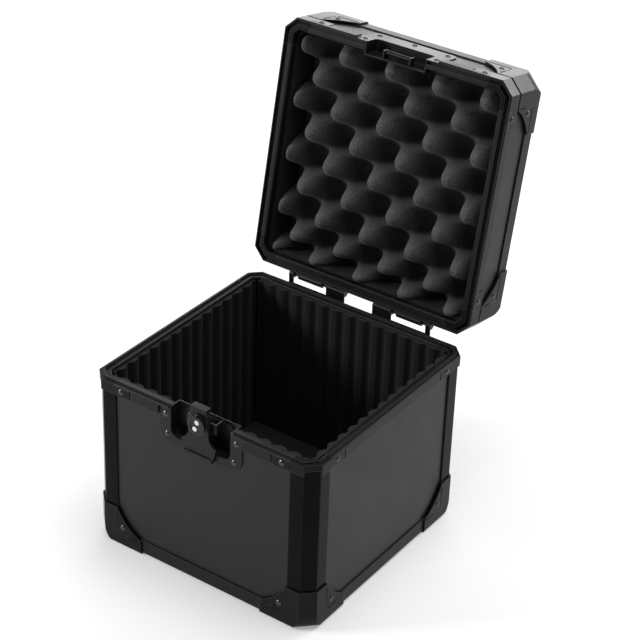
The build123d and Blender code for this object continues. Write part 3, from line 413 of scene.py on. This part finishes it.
columns = round(2 * FOAM_X / FOAM_STEP)
rows = round((FOAM_Y[1] - FOAM_Y[0]) / FOAM_STEP)
bm = bmesh.new()
bmesh.ops.create_grid(bm, x_segments=columns, y_segments=rows, size=0.5)
level_layer = bm.verts.layers.float.new("level")
for vert in bm.verts:
    x = 2 * FOAM_X * vert.co.x
    y = FOAM_Y[0] + (FOAM_Y[1] - FOAM_Y[0]) * (vert.co.y + 0.5)
    level = foam_level(x, y)
    vert.co = (x, y, FOAM_BACK_Z - FOAM_HOLLOW - (FOAM_TIP - FOAM_HOLLOW) * level)
    vert[level_layer] = level
rim = [edge for edge in bm.edges if edge.is_boundary]
walls = bmesh.ops.extrude_edge_only(bm, edges=rim)["geom"]
for item in walls:
    if isinstance(item, bmesh.types.BMVert):
        item.co.z = FOAM_BACK_Z
bmesh.ops.holes_fill(bm, edges=[edge for edge in bm.edges if edge.is_boundary], sides=0)
for x_sign in (-1, 1):
    for y_sign in (-1, 1):
        corner = Vector((x_sign * (HALF_WIDTH - FOAM_CORNER_IN[0]),
                         y_sign * (HALF_DEPTH - FOAM_CORNER_IN[1]), 0))
        cut = bmesh.ops.bisect_plane(
            bm, geom=bm.verts[:] + bm.edges[:] + bm.faces[:], plane_co=corner,
            plane_no=(x_sign, y_sign, 0), clear_outer=True)["geom_cut"]
        bmesh.ops.holes_fill(
            bm, edges=[item for item in cut if isinstance(item, bmesh.types.BMEdge)], sides=0)
foam = finish_mesh(bm, "egg_crate_foam", foam_cells, "lid", ["lid_foam"], turn_open)
print("Foam faces:", len(foam.data.polygons))

# %% [markdown]
# ## Ribbed liners
# The walls of the base are lined with ribbed felt. One function draws the wavy strip in
# plan and lifts it; each wall then turns its own copy into place.

# %% Ribbed liners
LINER_FOOT = 9.0 * MM
LINER_TOP = 158.4 * MM
LINER_THICK = 1.5 * MM
RIB_DEPTH = 2.8 * MM
RIB_PITCH = 14.0 * MM
STEPS_PER_RIB = 14
RIB_CROWN = 1.25            # above one, it cuts the wave off flat at its crest
RIB_FULLNESS = 0.8          # below one, it fills the ribs out
LINER_HALF_X = 95.3 * MM
LINER_HALF_Y = 94.3 * MM
LINER_INSET = 10.0 * MM
DISH_NOTCH = (30.8 * MM, 131.7 * MM)


def liner_strip(half_length, notch=None):
    """A wavy strip along X, its back on Y 0, its ribs towards +Y; a notch cuts its top."""
    count = round(2 * half_length / RIB_PITCH * STEPS_PER_RIB)
    places = [-half_length + 2 * half_length * number / count for number in range(count + 1)]
    if notch is not None:
        for side in (-1, 1):
            nearest = min(range(count + 1), key=lambda n: abs(places[n] - side * notch[0]))
            places[nearest] = side * notch[0]
    bm = bmesh.new()
    fronts = []
    backs = []
    for x in places:
        wave = 0.5 + 0.5 * math.cos(2 * math.pi * x / RIB_PITCH)
        depth = LINER_THICK + RIB_DEPTH * min(1.0, RIB_CROWN * wave) ** RIB_FULLNESS
        fronts.append(bm.verts.new((x, depth, LINER_FOOT)))
        backs.append(bm.verts.new((x, 0, LINER_FOOT)))
    for n in range(count):
        bm.faces.new((fronts[n], fronts[n + 1], backs[n + 1], backs[n]))
    if notch is None:
        lift(bm, bm.faces[:], LINER_TOP)
    else:
        top = lift(bm, bm.faces[:], notch[1])
        lift(bm, [face for face in top if abs(face.calc_center_median().x) > notch[0]],
             LINER_TOP)
    return bm


walls = {
    "front": (LINER_HALF_X, Matrix.Translation((0, LINER_INSET - HALF_DEPTH, 0))),
    "back": (LINER_HALF_X, Matrix.Translation((0, HALF_DEPTH - LINER_INSET, 0))
             @ Matrix.Rotation(math.pi, 4, "Z")),
    "left": (LINER_HALF_Y, Matrix.Translation((LINER_INSET - HALF_WIDTH, 0, 0))
             @ Matrix.Rotation(-math.pi / 2, 4, "Z")),
    "right": (LINER_HALF_Y, Matrix.Translation((HALF_WIDTH - LINER_INSET, 0, 0))
              @ Matrix.Rotation(math.pi / 2, 4, "Z")),
}
for wall, (half_length, place) in walls.items():
    bm = liner_strip(half_length, DISH_NOTCH if wall == "front" else None)
    bm.transform(place)
    piece = finish_mesh(bm, "liner_" + wall, felt, "base", ["base_liner_" + wall],
                        smooth=False)
print("Liners:", len(walls))

# %% [markdown]
# The floor pad is a thin cushion with rounded edges. The lid's lining is a smooth band that
# follows the eight sides of the lid's inside, with a notch for the keeper.

# %% Floor pad and lid lining
PAD_HALF = (95.4 * MM, 94.4 * MM)
PAD_Z = (9.0 * MM, 12.0 * MM)
PAD_ROUND = 1.2 * MM
bm = bmesh.new()
bmesh.ops.create_cube(bm, size=2.0)
for vert in bm.verts:
    vert.co.x *= PAD_HALF[0]
    vert.co.y *= PAD_HALF[1]
    vert.co.z = PAD_Z[0] if vert.co.z < 0 else PAD_Z[1]
upper_edges = [edge for edge in bm.edges if any(vert.co.z > PAD_Z[0] for vert in edge.verts)]
bmesh.ops.bevel(bm, geom=upper_edges, offset=PAD_ROUND, segments=3, affect="EDGES",
                profile=0.5)
pad = finish_mesh(bm, "floor_pad", felt, "base", ["base_floor_pad"], smooth=False)

LINING_OUTER = 10.0 * MM
LINING_INNER = 12.0 * MM
LINING_Z = (204.6 * MM, 177.9 * MM, 166.6 * MM)      # back, top of the notch, rim
NEAR_MIDDLE = 0.1 * MM      # only the face over the notch lies this near the middle
KEEPER_NOTCH = 29.8 * MM
CORNER_CUT = 10.5 * MM


def lining_outline(inset):
    """Points round the lid's inside, with two extra ones at the keeper's notch."""
    x = HALF_WIDTH - inset
    y = HALF_DEPTH - inset
    cut = CORNER_CUT - inset * (2 - math.sqrt(2))
    return [(-KEEPER_NOTCH, -y), (KEEPER_NOTCH, -y), (x - cut, -y), (x, cut - y), (x, y - cut),
            (x - cut, y), (cut - x, y), (-x, y - cut), (-x, cut - y), (cut - x, -y)]


bm = bmesh.new()
outer = [bm.verts.new((x, y, LINING_Z[0])) for x, y in lining_outline(LINING_OUTER)]
inner = [bm.verts.new((x, y, LINING_Z[0])) for x, y in lining_outline(LINING_INNER)]
for n in range(len(outer)):
    following = (n + 1) % len(outer)
    bm.faces.new((outer[n], outer[following], inner[following], inner[n]))
band = lift(bm, bm.faces[:], LINING_Z[1])
centres = [(face, face.calc_center_median()) for face in band]
lift(bm, [face for face, centre in centres if centre.y > 0 or abs(centre.x) > NEAR_MIDDLE],
     LINING_Z[2])
lining = finish_mesh(bm, "lid_felt_band", felt, "lid", ["lid_lining"], turn_open,
                     smooth=False)
print("Floor pad faces:", len(pad.data.polygons), "- lining faces:", len(lining.data.polygons))

# %% [markdown]
# ## Pressed ribs on the corner caps
# Each leaf of a cap has two pressed ribs that meet in an L beside its rivet. A rib is a
# round bar sunk into the leaf, so that only a low ridge stands out.

# %% Pressed ribs
RIB_RADIUS = 0.7 * MM
RIB_SINK = 0.4 * MM
RIB_IN = 24.0 * MM
RIB_RISE = (14.0 * MM, 34.0 * MM)
RIB_FOOT_Z = 12.5 * MM
RIB_FOOT_IN = (25.5 * MM, 46.5 * MM)
LID_TOP = 213.6 * MM
LID_RIB_CUT = 1.5 * MM      # the lid's caps are lower, and so are their ribs
BAR_SEGMENTS = 12
BALL_RINGS = 8


def round_bar(bm, start, end):
    """A bar between two points, with a ball on each end."""
    start = Vector(start)
    end = Vector(end)
    turn = (end - start).to_track_quat("Z", "Y").to_matrix().to_4x4()
    place = Matrix.Translation((start + end) / 2) @ turn
    bmesh.ops.create_cone(bm, cap_ends=True, segments=BAR_SEGMENTS, radius1=RIB_RADIUS,
                          radius2=RIB_RADIUS, depth=(end - start).length, matrix=place)
    for point in (start, end):
        bmesh.ops.create_uvsphere(bm, u_segments=BAR_SEGMENTS, v_segments=BALL_RINGS,
                                  radius=RIB_RADIUS, matrix=Matrix.Translation(point))


def leaf_point(x_sign, y_sign, along, inward, z):
    """A point on a cap's leaf that runs along X or Y, this far in from the corner."""
    if along == "x":
        return (x_sign * (HALF_WIDTH - inward), y_sign * (HALF_DEPTH - RIB_SINK), z)
    return (x_sign * (HALF_WIDTH - RIB_SINK), y_sign * (HALF_DEPTH - inward), z)


def cap_ribs(rib_cut):
    """Ribs for the four caps of a tray that stands on its end panel."""
    bm = bmesh.new()
    for x_sign in (-1, 1):
        for y_sign in (-1, 1):
            for along in ("x", "y"):
                leaf = (x_sign, y_sign, along)
                round_bar(bm, leaf_point(*leaf, RIB_IN, RIB_RISE[0]),
                          leaf_point(*leaf, RIB_IN, RIB_RISE[1] - rib_cut))
                round_bar(bm, leaf_point(*leaf, RIB_FOOT_IN[0], RIB_FOOT_Z),
                          leaf_point(*leaf, RIB_FOOT_IN[1], RIB_FOOT_Z))
    return bm


base_ribs = finish_mesh(cap_ribs(0.0), "base_cap_ribs", cap_paint, "base", [])
bm = cap_ribs(LID_RIB_CUT)
bm.transform(Matrix.Translation((0, 0, LID_TOP)) @ Matrix.Scale(-1, 4, (0, 0, 1)))
lid_ribs = finish_mesh(bm, "lid_cap_ribs", cap_paint, "lid", [], turn_open)
print("Rib faces:", len(base_ribs.data.polygons) + len(lid_ribs.data.polygons))

# %% [markdown]
# ## Floor and light
# A pale floor that glows faintly, so that it comes out white, and soft lights as in a
# studio. The key light stands at the front left, a wide one hangs overhead, a long low one
# at the back shows in the glossy panels, and a small one lights the lid's rim from behind.

# %% Floor and light
FLOOR_SIZE = 6.0
FLOOR_GRAY = (0.58, 0.58, 0.58)
FLOOR_GLOW = 0.30
WORLD_STRENGTH = 0.25

bm = bmesh.new()
bmesh.ops.create_grid(bm, x_segments=1, y_segments=1, size=FLOOR_SIZE)
floor_mesh = bpy.data.meshes.new("floor")
bm.to_mesh(floor_mesh)
bm.free()
floor = bpy.data.objects.new("floor", floor_mesh)
bpy.context.scene.collection.objects.link(floor)
floor_material, tree, shader = new_material("pale_floor", FLOOR_GRAY, 0.9)
shader.inputs["Emission Color"].default_value = (1.0, 1.0, 1.0, 1.0)
shader.inputs["Emission Strength"].default_value = FLOOR_GLOW
floor.data.materials.append(floor_material)

world = bpy.data.worlds.new("studio")
world.use_nodes = True
background = world.node_tree.nodes["Background"]
background.inputs["Color"].default_value = (1, 1, 1, 1)
background.inputs["Strength"].default_value = WORLD_STRENGTH
bpy.context.scene.world = world
bpy.context.scene.view_settings.view_transform = "Standard"


def area_light(name, place, target, size, power):
    """A rectangular light at a place, turned to face its target; power in watts."""
    light = bpy.data.lights.new(name, "AREA")
    light.shape = "RECTANGLE"
    light.size, light.size_y = size
    light.energy = power
    lamp = bpy.data.objects.new(name, light)
    lamp.location = place
    lamp.rotation_euler = (Vector(target) - Vector(place)).to_track_quat("-Z", "Y").to_euler()
    bpy.context.scene.collection.objects.link(lamp)


area_light("key", (-1.4, -1.2, 0.9), (0, 0.1, 0.3), (0.5, 0.5), 30)
area_light("top", (0.3, 0.2, 1.9), (0, 0, 0.2), (1.2, 1.2), 26)
area_light("back", (-1.0, 2.2, 0.85), (0, 0, 0.25), (2.7, 1.2), 38)
area_light("rim", (0.85, 1.95, 1.02), (0.05, 0.15, 0.35), (0.5, 0.5), 20)
print("Lights:", len(bpy.data.lights))
